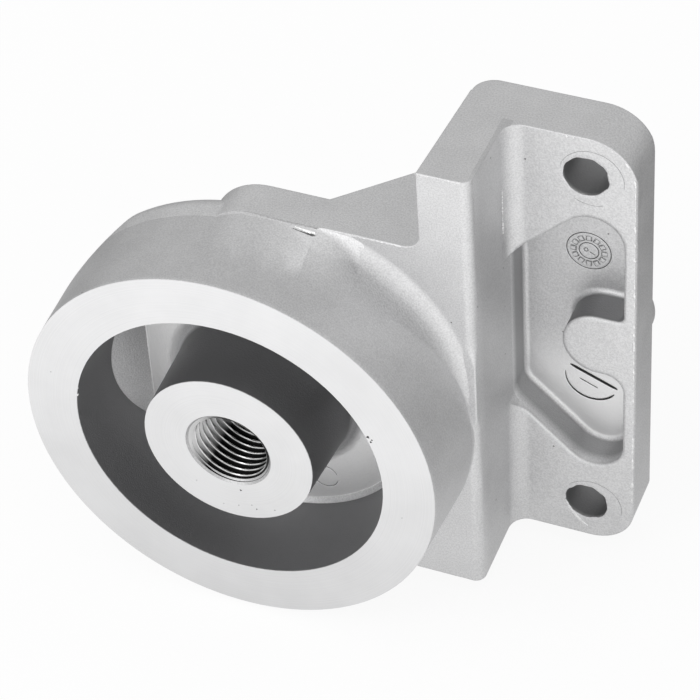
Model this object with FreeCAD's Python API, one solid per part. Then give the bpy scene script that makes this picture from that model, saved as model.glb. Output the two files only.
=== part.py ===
import FreeCAD, Part
import math
import os

# Fuel filter head: one aluminium die casting that carries a spin-on filter.
# Millimetres. The origin is the centre of the filter's sealing face.
# The cup opens towards -Y, the mounting plate's back faces +Y, and +Z is up.

# Cup that the filter screws on to
rimRadius = 40.0
rimInnerRadius = 30.1
bossRadius = 16.5
cavityDepth = 18.7
cupBack = 24.3
castDraft = 2.4
cupBackRound = 4.5
cavityEdgeChamfer = 0.9
bossRootRound = 3.0

# Sloping corner on the cup's left: the floor rises at 45 degrees, and the outside follows it
rampOffset = 43.0
rampWall = 2.14

# Thread M16 x 1.5 for the filter, and the way through to the outlet
filterThreadRadius = 8.0
filterThreadDepth = 17.5
threadLeadIn = 0.4
passageRadius = 5.0

# Arm from the cup to the mounting wall
armFront = 17.6
armBack = 25.1
armTop = 42.7
armLeft = -11.0
armEndRound = 11.6
gussetStart = 12.2
armWallRound = 3.0

# Blend between the cup and the arm's front: widest up and to the right, because its axis lies off the cup's
armCupRound = 6.5
armCupRoundX = 8.0
armCupRoundZ = 11.0

# Slope from the cup up to the arm's front edge, left of the die's joint
slopeStart = 8.0
slopeSunk = 0.15
slopeBelowEdge = 0.25
slopeRight = 12.9

# Mounting wall and plate
wallRight = 41.6
wallThickness = 9.7
plateRight = 65.4
plateBack = 45.6
plateThickness = 10.3
plateTopRound = 9.0
plateBottomRound = 8.6
wallFrontRound = 2.0
wallPlateRound = 3.5
wallBackRound = 4.0
footDraft = 3.4
castEdge = 0.9

# Two bolt holes for M8 and the locating spigot between them
boltX = 56.1
boltMid = 11.5
boltPitch = 80.0
boltToTop = 8.5
boltToFoot = 9.6
boltHoleRadius = 4.25
boltHoleChamfer = 0.3
spigotRadius = 8.85
spigotHeight = 3.0
spigotChamfer = 0.6

# Pocket in the plate, with a tongue from its right side
pocketFloor = 3.0
pocketMid = 12.3
pocketHalfAtWall = 17.9
pocketSlope = 43.0
pocketRim = 2.2
pocketCornerRound = 6.0
pocketWallRound = 4.5
pocketFloorRound = 1.1
tongueTip = 51.6
tongueMid = 12.4
tongueWidth = 13.3
tongueEndRound = 6.5
tongueLowerRoot = 3.8
tongueUpperRoot = 1.6

# Ports M14 x 1.5 behind the cup, both open downwards
portThreadRadius = 7.0
portThreadDepth = 14.0
portBossRadius = 10.0
portBack = 44.8
outletX = 0.0
outletTop = 10.5
outletReach = 4.0
inletX = 24.0
inletTop = 18.0
inletHoleZ = 8.0
inletHoleRadius = 3.2
portEndChamfer = 2.0
drillPointAngle = 118.0

# Kilograms in a cubic millimetre of aluminium
density = 2.7e-6

overrun = 2.0
tolerance = 1e-6
backward = FreeCAD.Vector(0, 1, 0)
upward = FreeCAD.Vector(0, 0, 1)
draftSlope = math.tan(math.radians(castDraft))
plateFront = plateBack - plateThickness
portAxisY = portBack - portBossRadius
wallLeft = wallRight - wallThickness
upperBoltZ = boltMid + boltPitch / 2
lowerBoltZ = boltMid - boltPitch / 2
wallTop = upperBoltZ + boltToTop
wallBottom = lowerBoltZ - boltToFoot

# How far each side moves for one millimetre of depth behind the arm's front
straight = FreeCAD.Vector(0, 0, 0)
leftSideLean = FreeCAD.Vector(draftSlope, 0, 0)
footLean = FreeCAD.Vector(0, 0, math.tan(math.radians(footDraft)))


def onPlan(x, y):
    return FreeCAD.Vector(x, y, 0)


def onFront(x, z):
    return FreeCAD.Vector(x, 0, z)


def roundedOutline(corners, place):
    """Closed wire through corners given as (across, along, radius), with an arc at each radius."""
    starts = []
    edges = []
    count = len(corners)
    for i in range(count):
        here = place(corners[i][0], corners[i][1])
        before = place(corners[i - 1][0], corners[i - 1][1]) - here
        after = place(corners[(i + 1) % count][0], corners[(i + 1) % count][1]) - here
        radius = corners[i][2]
        if radius == 0:
            starts.append((here, here))
            continue
        before.normalize()
        after.normalize()
        half = before.getAngle(after) / 2
        first = here + before * (radius / math.tan(half))
        last = here + after * (radius / math.tan(half))
        inward = before + after
        inward.normalize()
        middle = here + inward * (radius / math.sin(half) - radius)
        edges.append(Part.Arc(first, middle, last).toShape())
        starts.append((first, last))
    for i in range(count):
        leave = starts[i][1]
        arrive = starts[(i + 1) % count][0]
        if leave.distanceToPoint(arrive) > tolerance:
            edges.append(Part.LineSegment(leave, arrive).toShape())
    return Part.Wire(Part.__sortEdges__(edges))


def prism(wire, start, travel):
    """Solid made by moving a closed wire to start and then along travel."""
    face = Part.Face(wire)
    face.translate(start)
    return face.extrude(travel)


def seenFromFront(corners, start, length, lean):
    """Prism of a front view that is drawn at the arm's front, between two depths."""
    wire = roundedOutline(corners, onFront)
    return prism(wire, backward * start + lean * (start - armFront), (backward + lean) * length)


def revolvedAboutCupAxis(corners):
    """Full turn about the Y axis of a profile given as (radius, depth, round)."""
    face = Part.Face(roundedOutline(corners, onPlan))
    return face.revolve(FreeCAD.Vector(0, 0, 0), backward, 360)


def cupWallAt(depth):
    return rimRadius + depth * draftSlope


def leftCorner(offset, back):
    """What lies beyond the 45 degree plane Y = X + offset, up to the depth back."""
    low = -2 * rimRadius
    corners = [(back - offset, back, 0), (low, low + offset, 0), (low, back, 0)]
    bottom = FreeCAD.Vector(0, 0, low)
    return prism(roundedOutline(corners, onPlan), bottom, upward * (-2 * low))


def cup():
    corners = [
        (0, 0, 0),
        (rimRadius, 0, 0),
        (cupWallAt(cupBack), cupBack, cupBackRound),
        (0, cupBack, 0),
    ]
    solid = revolvedAboutCupAxis(corners)
    outside = rampOffset + rampWall * math.sqrt(2)
    return solid.cut(leftCorner(outside, cupBack + overrun))


def cavity():
    """Ring-shaped space round the boss, with the sloping floor left standing on its left."""
    outerAtMouth = rimInnerRadius + overrun * draftSlope
    innerAtMouth = bossRadius - overrun * draftSlope
    outerAtFloor = rimInnerRadius - cavityDepth * draftSlope
    innerAtFloor = bossRadius + cavityDepth * draftSlope
    corners = [
        (innerAtMouth, -overrun, 0),
        (outerAtMouth, -overrun, 0),
        (outerAtFloor + cavityEdgeChamfer * draftSlope, cavityDepth - cavityEdgeChamfer, 0),
        (outerAtFloor - cavityEdgeChamfer, cavityDepth, 0),
        (innerAtFloor, cavityDepth, bossRootRound),
    ]
    return revolvedAboutCupAxis(corners).cut(leftCorner(rampOffset, cavityDepth + overrun))


def planView():
    """Arm, wall and plate as seen from above."""
    left = armLeft - overrun
    corners = [
        (left, armFront, 0),
        (wallRight, armFront, wallFrontRound),
        (wallRight, plateFront, wallPlateRound),
        (plateRight, plateFront, castEdge),
        (plateRight, plateBack, castEdge),
        (gussetStart + plateBack - armBack, plateBack, 0),
        (gussetStart, armBack, 0),
        (left, armBack, 0),
    ]
    bottom = wallBottom - overrun
    return prism(roundedOutline(corners, onPlan), upward * bottom, upward * (wallTop + overrun - bottom))


def frontView(start, length):
    """Arm, wall and plate as seen from the front, between two depths."""
    left = armLeft - 2 * overrun
    below = wallBottom - 2 * overrun
    above = wallTop + 2 * overrun
    topCorner = [
        (left, below, 0),
        (plateRight, below, 0),
        (plateRight, wallTop, plateTopRound),
        (left, wallTop, 0),
    ]
    footCorner = [
        (left, wallBottom, 0),
        (plateRight, wallBottom, plateBottomRound),
        (plateRight, above, 0),
        (left, above, 0),
    ]
    besideWall = [
        (armLeft, below, 0),
        (armLeft, armTop, armEndRound),
        (wallLeft, armTop, armWallRound),
        (wallLeft, above, 0),
        (left - overrun, above, 0),
        (left - overrun, below, 0),
    ]
    solid = seenFromFront(topCorner, start, length, straight)
    solid = solid.common(seenFromFront(footCorner, start, length, footLean))
    return solid.cut(seenFromFront(besideWall, start - overrun, length + 2 * overrun, leftSideLean))


def wallBackCorner():
    """Material outside the round on the wall's free upright edge, above the arm."""
    left = wallLeft + (plateBack - armFront) * draftSlope
    corners = [
        (left - overrun, plateBack - wallBackRound, 0),
        (left, plateBack - wallBackRound, 0),
        (left, plateBack, wallBackRound),
        (left + wallBackRound, plateBack, 0),
        (left + wallBackRound, plateBack + overrun, 0),
        (left - overrun, plateBack + overrun, 0),
    ]
    return prism(roundedOutline(corners, onPlan), upward * armTop, upward * (wallTop + overrun - armTop))


def bracket():
    """Arm, wall and plate in one."""
    front = frontView(armFront - overrun, plateBack - armFront + 2 * overrun)
    return planView().common(front).cut(wallBackCorner())


def cupToArmRound():
    """Concave blend between the cup's wall and the arm's front, a ring about an axis off the cup's."""
    axis = FreeCAD.Vector(armCupRoundX, 0, armCupRoundZ)
    start = armFront - armCupRound
    near = cupWallAt(start) - axis.Length
    lift = armCupRound * (1 - math.sqrt(0.5))
    inside = near - armCupRound
    foot = onPlan(near + armCupRound, armFront)
    edges = [
        Part.Arc(onPlan(near, start), onPlan(near + lift, armFront - lift), foot).toShape(),
        Part.LineSegment(foot, onPlan(inside, armFront)).toShape(),
        Part.LineSegment(onPlan(inside, armFront), onPlan(inside, start)).toShape(),
        Part.LineSegment(onPlan(inside, start), onPlan(near, start)).toShape(),
    ]
    ring = Part.Face(Part.Wire(edges)).revolve(FreeCAD.Vector(0, 0, 0), backward, 360)
    ring.translate(axis)
    return ring.common(frontView(start - overrun, armCupRound + 2 * overrun))


def slopeSection(top, left, right, depth):
    """Closed outline at one depth with the given top edge, down to the cup's inside."""
    start, end = top.Vertexes[0].Point, top.Vertexes[-1].Point
    lowRight = FreeCAD.Vector(right, depth, rimInnerRadius)
    lowLeft = FreeCAD.Vector(left, depth, rimInnerRadius)
    return Part.Wire([
        top,
        Part.LineSegment(end, lowRight).toShape(),
        Part.LineSegment(lowRight, lowLeft).toShape(),
        Part.LineSegment(lowLeft, start).toShape(),
    ])


def slope(left, right, crest):
    """Ruled slope from the cup's wall up to the crest, just below the arm's front edge."""
    radius = cupWallAt(slopeStart) - slopeSunk
    across = [left, (left + right) / 2, right]
    points = [FreeCAD.Vector(x, slopeStart, math.sqrt(radius ** 2 - x ** 2)) for x in across]
    near = slopeSection(Part.Arc(*points).toShape(), left, right, slopeStart)
    far = slopeSection(crest, left, right, armFront)
    return Part.makeLoft([near, far], True, True)


def armSlope():
    """Slope along the arm's rounded end and along its straight top."""
    middle = armLeft + armEndRound
    centreZ = armTop - armEndRound
    radius = armEndRound - slopeBelowEdge
    diagonal = radius * math.sqrt(0.5)
    left = middle - diagonal
    turn = math.pi / 8
    corner = Part.Arc(
        FreeCAD.Vector(left, armFront, centreZ + diagonal),
        FreeCAD.Vector(middle - radius * math.sin(turn), armFront, centreZ + radius * math.cos(turn)),
        FreeCAD.Vector(middle, armFront, centreZ + radius),
    )
    straightTop = Part.LineSegment(
        FreeCAD.Vector(middle, armFront, centreZ + radius),
        FreeCAD.Vector(slopeRight, armFront, centreZ + radius),
    )
    return [slope(left, middle, corner.toShape()), slope(middle, slopeRight, straightTop.toShape())]


def pocket():
    """Space in the plate whose left side is the wall's own face."""
    right = plateRight - pocketRim
    halfAtRight = pocketHalfAtWall + (right - wallRight) * math.tan(math.radians(pocketSlope))
    low = tongueMid - tongueWidth / 2
    high = tongueMid + tongueWidth / 2
    corners = [
        (wallRight, pocketMid - pocketHalfAtWall, pocketWallRound),
        (right, pocketMid - halfAtRight, pocketCornerRound),
        (right, low, tongueLowerRoot),
        (tongueTip, low, tongueEndRound),
        (tongueTip, high, tongueEndRound),
        (right, high, tongueUpperRoot),
        (right, pocketMid + halfAtRight, pocketCornerRound),
        (wallRight, pocketMid + pocketHalfAtWall, 0),
    ]
    floor = plateBack - pocketFloor
    mouth = plateFront - wallPlateRound - overrun
    solid = prism(roundedOutline(corners, onFront), backward * mouth, backward * (floor - mouth))
    floorEdges = [e for e in solid.Edges if abs(e.BoundBox.YMin - floor) < tolerance]
    return solid.makeFillet(pocketFloorRound, floorEdges)


def portBoss(x, top):
    """D-shaped boss on the cup's back, with a chamfer round its closed top end."""
    start = (cavityDepth + cupBack) / 2
    corners = [
        (x - portBossRadius, start, 0),
        (x + portBossRadius, start, 0),
        (x + portBossRadius, portBack, portBossRadius),
        (x - portBossRadius, portBack, portBossRadius),
    ]
    wire = roundedOutline(corners, onPlan)
    solid = prism(wire, upward * wallBottom, upward * (top - wallBottom))
    topEdges = [e for e in solid.Edges if e.BoundBox.ZMin > top - tolerance and e.BoundBox.YMax > cupBack]
    return solid.makeChamfer(portEndChamfer, topEdges)


def spigot():
    base = FreeCAD.Vector(boltX, plateBack, boltMid)
    solid = Part.makeCylinder(spigotRadius, spigotHeight, base, backward)
    tip = [e for e in solid.Edges if e.BoundBox.YMin > plateBack + spigotHeight - tolerance]
    return solid.makeChamfer(spigotChamfer, tip)


def drilled(radius, depth, mouth, direction):
    """Blind hole with a countersunk mouth and a drill point at its end."""
    start = mouth - direction * overrun
    pointLength = radius / math.tan(math.radians(drillPointAngle / 2))
    hole = Part.makeCylinder(radius, depth + overrun, start, direction)
    sink = Part.makeCone(radius + threadLeadIn, radius, threadLeadIn, mouth, direction)
    point = Part.makeCone(radius, 0, pointLength, mouth + direction * depth, direction)
    return hole.fuse([sink, point])


def port(x, reach):
    """Threaded mouth at the casting's foot, with a narrower way up to the height reach."""
    foot = FreeCAD.Vector(x, portAxisY, wallBottom)
    mouth = drilled(portThreadRadius, portThreadDepth, foot, upward)
    way = Part.makeCylinder(passageRadius, reach - wallBottom, foot, upward)
    return mouth.fuse(way)


def filterHole():
    """Threaded hole through the boss and the way back to the outlet."""
    centre = FreeCAD.Vector(0, 0, 0)
    mouth = drilled(filterThreadRadius, filterThreadDepth, centre, backward)
    way = Part.makeCylinder(passageRadius, portAxisY, centre, backward)
    return mouth.fuse(way)


def inletHole():
    """Way from the inlet into the cup's ring-shaped space."""
    start = FreeCAD.Vector(inletX, cavityDepth - overrun, inletHoleZ)
    return Part.makeCylinder(inletHoleRadius, portAxisY - start.y, start, backward)


def boltHole(z):
    front = FreeCAD.Vector(boltX, plateFront, z)
    hole = Part.makeCylinder(boltHoleRadius, plateThickness + 2 * overrun, front - backward * overrun, backward)
    rim = boltHoleRadius + boltHoleChamfer
    sink = Part.makeCone(rim, boltHoleRadius, boltHoleChamfer, front, backward)
    return hole.fuse(sink)


def filterHead():
    body = cup().fuse([
        bracket(),
        cupToArmRound(),
        *armSlope(),
        portBoss(outletX, outletTop),
        portBoss(inletX, inletTop),
        spigot(),
    ]).removeSplitter()
    holes = [
        cavity(),
        pocket(),
        filterHole(),
        inletHole(),
        port(outletX, outletReach),
        port(inletX, inletHoleZ + inletHoleRadius),
        boltHole(upperBoltZ),
        boltHole(lowerBoltZ),
    ]
    return body.cut(holes)


os.makedirs("parts", exist_ok=True)
head = filterHead()
head.exportStep("parts/filter_head.step")
print("solids", len(head.Solids), "valid", head.isValid(), "volume", round(head.Volume, 1))
print("mass", round(head.Volume * density, 4), "kg")
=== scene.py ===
import math
from contextlib import contextmanager
import bmesh
import bpy
import numpy as np
from mathutils import Matrix, Vector


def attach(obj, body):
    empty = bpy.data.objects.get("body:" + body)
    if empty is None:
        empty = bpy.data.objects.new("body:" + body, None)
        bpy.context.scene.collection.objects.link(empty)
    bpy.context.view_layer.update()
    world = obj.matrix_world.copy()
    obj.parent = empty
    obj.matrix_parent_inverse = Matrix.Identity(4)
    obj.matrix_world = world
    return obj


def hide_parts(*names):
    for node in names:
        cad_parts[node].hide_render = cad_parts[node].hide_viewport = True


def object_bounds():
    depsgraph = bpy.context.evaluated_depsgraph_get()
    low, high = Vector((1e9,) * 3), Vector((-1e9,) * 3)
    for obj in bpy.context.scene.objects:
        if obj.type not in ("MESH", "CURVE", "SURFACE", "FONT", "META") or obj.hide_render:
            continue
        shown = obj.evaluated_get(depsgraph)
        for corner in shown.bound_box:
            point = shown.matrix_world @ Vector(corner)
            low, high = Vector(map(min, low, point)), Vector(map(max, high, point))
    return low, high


# Fuel filter head: the casting with its small marks, the filter thread, the stage and the camera.
# Sizes are in millimetres in the row frame; -Y is out of the cup, +Z is up.

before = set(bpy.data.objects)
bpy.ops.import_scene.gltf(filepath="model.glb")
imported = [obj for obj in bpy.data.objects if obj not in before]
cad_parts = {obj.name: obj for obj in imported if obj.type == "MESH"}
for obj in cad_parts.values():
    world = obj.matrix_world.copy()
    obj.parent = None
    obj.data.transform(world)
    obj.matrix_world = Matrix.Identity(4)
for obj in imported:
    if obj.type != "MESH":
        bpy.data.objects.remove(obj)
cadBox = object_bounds()
mm = 0.001
pieceSharpAngle = 35.0  # added pieces are smooth except where faces meet at more than this, in degrees
print("frame loaded")


# Meshes: reading and editing them, and making them from rings of points

@contextmanager
def editing(mesh):
    # a bmesh of the mesh, written back to it at the end
    bm = bmesh.new()
    bm.from_mesh(mesh)
    yield bm
    bm.to_mesh(mesh)
    bm.free()


def readArray(items, name, width=1, kind=float):
    # one property of all items; a row for each where it is a vector
    values = np.empty(len(items) * width, kind)
    items.foreach_get(name, values)
    return values.reshape(-1, width) if width > 1 else values


def smoothFaces(mesh, sharpAngle):
    mesh.polygons.foreach_set("use_smooth", np.ones(len(mesh.polygons), bool))
    mesh.set_sharp_from_angle(angle=math.radians(sharpAngle))


def ringQuads(rows, cols, wrapRows):
    # quad (i, j) joins ring i to ring i + 1 and point j to point j + 1; each ring is closed
    i, j = np.meshgrid(np.arange(rows if wrapRows else rows - 1), np.arange(cols), indexing="ij")
    nextI, nextJ = (i + 1) % rows, (j + 1) % cols
    corners = [i * cols + j, i * cols + nextJ, nextI * cols + nextJ, nextI * cols + j]
    return np.stack(corners, -1).reshape(-1, 4)


def ringMesh(name, rings, closed=False):
    # surface through rings[i, j] in millimetres; an open one gets a flat cap on its first and last ring
    rows, cols = rings.shape[:2]
    faces = ringQuads(rows, cols, closed).tolist()
    if not closed:
        faces.append(list(range(cols)))
        faces.append(list(range((rows - 1) * cols, rows * cols)))
    mesh = bpy.data.meshes.new(name)
    mesh.from_pydata((rings.reshape(-1, 3) * mm).tolist(), [], faces)
    with editing(mesh) as bm:
        bmesh.ops.recalc_face_normals(bm, faces=bm.faces)
    return mesh


def addObject(name, mesh):
    obj = bpy.data.objects.new(name, mesh)
    bpy.context.scene.collection.objects.link(obj)
    return obj


def addPiece(name, mesh, material):
    # a finished piece on the casting's body, smooth but for its sharp edges
    obj = addObject(name, mesh)
    mesh.materials.append(material)
    smoothFaces(mesh, pieceSharpAngle)
    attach(obj, "root")
    return obj


def smoothStep(low, high, value):
    # 0 below low, 1 above high, 3t^2 - 2t^3 between
    t = np.clip((value - low) / (high - low), 0, 1)
    return t * t * (3 - 2 * t)


def circlePath(centre, radius, start=0.0, stop=360.0, count=96):
    # (x, z) = centre + radius (cos a, sin a), a in degrees
    a = np.radians(np.linspace(start, stop, count, endpoint=abs(stop - start) < 360))
    return np.stack([centre[0] + radius * np.cos(a), centre[1] + radius * np.sin(a)], -1)


def linePath(a, b, count=24):
    # a + t (b - a)
    t = np.linspace(0, 1, count)[:, None]
    return np.array(a) * (1 - t) + np.array(b) * t


def wander(count, seed, waves=5, closed=False):
    # sum of a few seeded sines along 0..1, about -1..1
    rng = np.random.default_rng(seed)
    t = np.linspace(0, 1, count, endpoint=not closed)[:, None]
    k = np.arange(1, waves + 1)[None, :] * (1 if closed else 0.8)
    phases = rng.uniform(0, 6.28, (1, waves))
    heights = rng.uniform(0.4, 1, (1, waves))
    return (np.sin(2 * np.pi * k * t + phases) * heights).sum(1) / waves ** 0.5


def alongFace(path, faceY, section, closed, widths=None):
    # ring i is path[i] + across * section.x * widths[i] at depth faceY + section.y * widths[i];
    # across is normal to the path
    step = np.roll(path, -1, 0) - np.roll(path, 1, 0) if closed else np.gradient(path, axis=0)
    step = step / np.linalg.norm(step, axis=1, keepdims=True)
    across = np.stack([-step[:, 1], step[:, 0]], -1)
    widths = np.ones(len(path)) if widths is None else widths
    flat = path[:, None, :] + across[:, None, :] * (section[None, :, 0] * widths[:, None])[..., None]
    depth = faceY + section[None, :, 1] * widths[:, None]
    return np.stack([flat[..., 0], depth, flat[..., 1]], -1)


grooveTool = {  # shares of half the groove's width, and how far the tool stands out of the face
    "top": 1.3,
    "bottom": 0.55,
    "above": 0.4,
    "narrowest": 0.12,  # square of the share of its width that is left at its ends
    "wideFrom": 0.2,  # place along it, from -1 to 1, where a tapered start reaches its full width
}


def grooveCutter(path, faceY, width, depth, closed=False, begin=1.0):
    # tool with a narrow flat bottom; its width falls off as sqrt(1 - t^8) towards both ends, t from -1 to 1
    # along it, and starts at the share begin
    top, bottom = width / 2 * grooveTool["top"], width / 2 * grooveTool["bottom"]
    above = grooveTool["above"]
    section = np.array([(-top, -above), (top, -above), (bottom, depth), (-bottom, depth)])
    t = np.linspace(-1, 1, len(path))
    ends = np.sqrt(np.clip(1 - t ** 8, grooveTool["narrowest"], 1))
    widths = None if closed else ends * (begin + (1 - begin) * smoothStep(-1, grooveTool["wideFrom"], t))
    return ringMesh("groove", alongFace(path, faceY, section, closed, widths), closed)


def pebble(centre, size, seed):
    # radius size (1 + 0.25 sin(3a + p) sin b), squashed to 0.6 in depth
    rng = np.random.default_rng(seed)
    poleGap = 0.2
    fromPole = np.linspace(poleGap, math.pi - poleGap, 9)
    around = np.linspace(0, 2 * math.pi, 14, endpoint=False)
    b, a = np.meshgrid(fromPole, around, indexing="ij")
    r = size * (1 + 0.25 * np.sin(3 * a + rng.uniform(0, 6)) * np.sin(b))
    rings = np.stack([r * np.sin(b) * np.cos(a), 0.6 * r * np.cos(b), r * np.sin(b) * np.sin(a)], -1)
    return ringMesh("pebble", rings + centre)


# Materials

def newMaterial(name):
    material = bpy.data.materials.new(name)
    material.use_nodes = True
    return material, material.node_tree.nodes, material.node_tree.links


def newMetal(name, metallic, roughness=0.5):
    material, nodes, links = newMaterial(name)
    shader = nodes["Principled BSDF"]
    shader.inputs["Metallic"].default_value = metallic
    shader.inputs["Roughness"].default_value = roughness
    return material, nodes, links, shader


def splitNode(nodes, links, vector):
    # the sockets "X", "Y" and "Z" of its parts
    node = nodes.new("ShaderNodeSeparateXYZ")
    links.new(vector, node.inputs["Vector"])
    return node.outputs


def noiseNode(nodes, links, place, scale, detail=3.0, rough=0.6):
    node = nodes.new("ShaderNodeTexNoise")
    node.inputs["Scale"].default_value = scale
    node.inputs["Detail"].default_value = detail
    node.inputs["Roughness"].default_value = rough
    links.new(place, node.inputs["Vector"])
    return node.outputs["Fac"]


def rampNode(nodes, links, value, stops):
    # blends from colour to colour between (place, colour) stops
    node = nodes.new("ShaderNodeValToRGB")
    while len(node.color_ramp.elements) < len(stops):
        node.color_ramp.elements.new(0.5)
    for element, (place, colour) in zip(node.color_ramp.elements, stops):
        element.position = place
        element.color = (*colour, 1)
    links.new(value, node.inputs["Fac"])
    return node.outputs["Color"]


def mathNode(nodes, links, operation, first, second):
    node = nodes.new("ShaderNodeMath")
    node.operation = operation
    for socket, value in zip(node.inputs, (first, second)):
        if isinstance(value, (int, float)):
            socket.default_value = value
        else:
            links.new(value, socket)
    return node.outputs["Value"]


def timesNode(nodes, links, first, second):
    return mathNode(nodes, links, "MULTIPLY", first, second)


def blendNode(nodes, links, first, second, share):
    # share first + (1 - share) second
    rest = timesNode(nodes, links, second, 1 - share)
    return mathNode(nodes, links, "ADD", timesNode(nodes, links, first, share), rest)


def lengthNode(nodes, links, x, z):
    # sqrt(x^2 + z^2)
    squares = mathNode(nodes, links, "ADD", timesNode(nodes, links, x, x), timesNode(nodes, links, z, z))
    return mathNode(nodes, links, "SQRT", squares, 0.0)


def levelNode(nodes, links, value, places, levels):
    # the first level up to the first place, the second from the second place on, straight between
    node = nodes.new("ShaderNodeMapRange")
    node.inputs["From Min"].default_value, node.inputs["From Max"].default_value = places
    node.inputs["To Min"].default_value, node.inputs["To Max"].default_value = levels
    links.new(value, node.inputs["Value"])
    return node.outputs["Result"]


def rangeNode(nodes, links, value, low, high):
    return levelNode(nodes, links, value, (low, high), (0.0, 1.0))


def mixColour(nodes, links, share, first, second):
    # first where share is 0, second where it is 1; each is a colour or a socket
    node = nodes.new("ShaderNodeMix")
    node.data_type = "RGBA"
    links.new(share, node.inputs["Factor"])
    for socket, value in ((node.inputs["A"], first), (node.inputs["B"], second)):
        if isinstance(value, tuple):
            socket.default_value = (*value, 1)
        else:
            links.new(value, socket)
    return node.outputs["Result"]


def bumpNode(nodes, links, height, distance, strength, normal=None):
    node = nodes.new("ShaderNodeBump")
    node.inputs["Strength"].default_value = strength
    node.inputs["Distance"].default_value = distance
    links.new(height, node.inputs["Height"])
    if normal is not None:
        links.new(normal, node.inputs["Normal"])
    return node.outputs["Normal"]


castLook = {
    "light": (0.80, 0.80, 0.805),  # colour of the skin's bright grains
    "dark": (0.66, 0.66, 0.665),  # and of its dull ones
    "paintedWallShade": (0.25, 0.25, 0.255),  # painted shade on steep walls, darker than the skin
    # painted shade of small pits
    "pitShade": (0.25, 0.25, 0.25),
    "stops": (0.36, 0.64),  # noise levels of the dull and the bright grains
    "metallic": 0.9,
    "roughness": (0.44, 0.54),
    "grain": 3300.0,  # grains in a metre
    "grainShare": 0.75,  # the rest of the noise is patches
    "patches": 150.0,
    "pits": 240.0,  # cells in a metre
    "pitFrom": 0.78,  # only cells of a random value above this have a pit
    "pitRadius": 0.045,  # share of a cell
    "bump": (0.00008, 0.6),  # depth in metres and strength
    "edgeRound": 0.35,
    "pocketRound": 1.2,  # broader round of the pocket's edges
    "roundSamples": 8,
    "steepFrom": 0.12,  # a surface counts as a wall below this Y part of its normal
    "steepTo": 0.55,
    "floorFrom": 0.75,  # and as a floor above this
    "floorTo": 0.95,
    # painted light: colour mixed onto flat floors
    "paintedFloorLight": (1.0, 1.0, 1.0),
    # a place is its shape, centre, inner and outer radius or half sizes, the soft share of its width,
    # the depths where it starts, is full and ends, and its share
    # places whose steep walls get painted shade
    "paintedShadePlaces": (
        ("ring", (0.0, 0.0), (16.2, 30.4), 0.01, (0.0, 0.3, 18.75), 1.0),
        ("ring", (0.0, 0.0), (30.6, 43.0), 0.01, (0.0, 1.0, 17.0), 0.2),
        ("ring", (56.1, 51.5), (0.0, 4.4), 0.01, (35.3, 36.3, 46.0), 0.85),
        ("ring", (56.1, -28.5), (0.0, 4.4), 0.01, (35.3, 36.3, 46.0), 0.85),
        ("box", (57.2, 12.4), (6.05, 7.4), 0.01, (35.4, 35.9, 42.7), 0.95),
        ("box", (52.2, 12.3), (11.05, 33.5), 0.01, (36.2, 38.2, 42.7), 0.75),
        ("box", (41.8, 8.0), (1.0, 60.0), 0.01, (18.0, 22.0, 36.0), 0.2),
    ),
    "paintedLightPlaces": (  # floors with painted light
        ("ring", (0.0, 0.0), (16.2, 30.4), 0.01, (3.0, 4.0, 19.0), 1.0),
        ("box", (56.0, -16.0), (18.0, 24.0), 0.5, (41.4, 41.9, 42.8), 1.0),
    ),
    "roundPlaces": (("box", (52.2, 12.3), (11.6, 34.5), 0.02, (34.5, 34.7, 38.0), 1.0),),
}


def millimetrePlace(nodes, links, texture):
    scaled = nodes.new("ShaderNodeVectorMath")
    scaled.operation = "SCALE"
    scaled.inputs["Scale"].default_value = 1 / mm
    links.new(texture.outputs["Object"], scaled.inputs[0])
    return splitNode(nodes, links, scaled.outputs["Vector"])


def placeMask(nodes, links, split, places):
    # largest share of the places round the point; away is 1 at a place's outer border
    total = 0.0
    for shape, centre, (low, high), soft, (front, full, back), amount in places:
        dx = mathNode(nodes, links, "SUBTRACT", split["X"], centre[0])
        dz = mathNode(nodes, links, "SUBTRACT", split["Z"], centre[1])
        if shape == "ring":
            away = mathNode(nodes, links, "DIVIDE", lengthNode(nodes, links, dx, dz), high)
            beyond = mathNode(nodes, links, "GREATER_THAN", away, low / high)
        else:
            wide = mathNode(nodes, links, "DIVIDE", mathNode(nodes, links, "ABSOLUTE", dx, 0.0), low)
            tall = mathNode(nodes, links, "DIVIDE", mathNode(nodes, links, "ABSOLUTE", dz, 0.0), high)
            away = mathNode(nodes, links, "MAXIMUM", wide, tall)
            beyond = 1.0
        within = timesNode(nodes, links, rangeNode(nodes, links, away, 1.0, 1.0 - soft), beyond)
        before = mathNode(nodes, links, "LESS_THAN", split["Y"], back)
        behind = rangeNode(nodes, links, split["Y"], front, full)
        deep = timesNode(nodes, links, behind, before)
        here = timesNode(nodes, links, timesNode(nodes, links, within, deep), amount)
        total = mathNode(nodes, links, "MAXIMUM", here, total)
    return total


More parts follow.
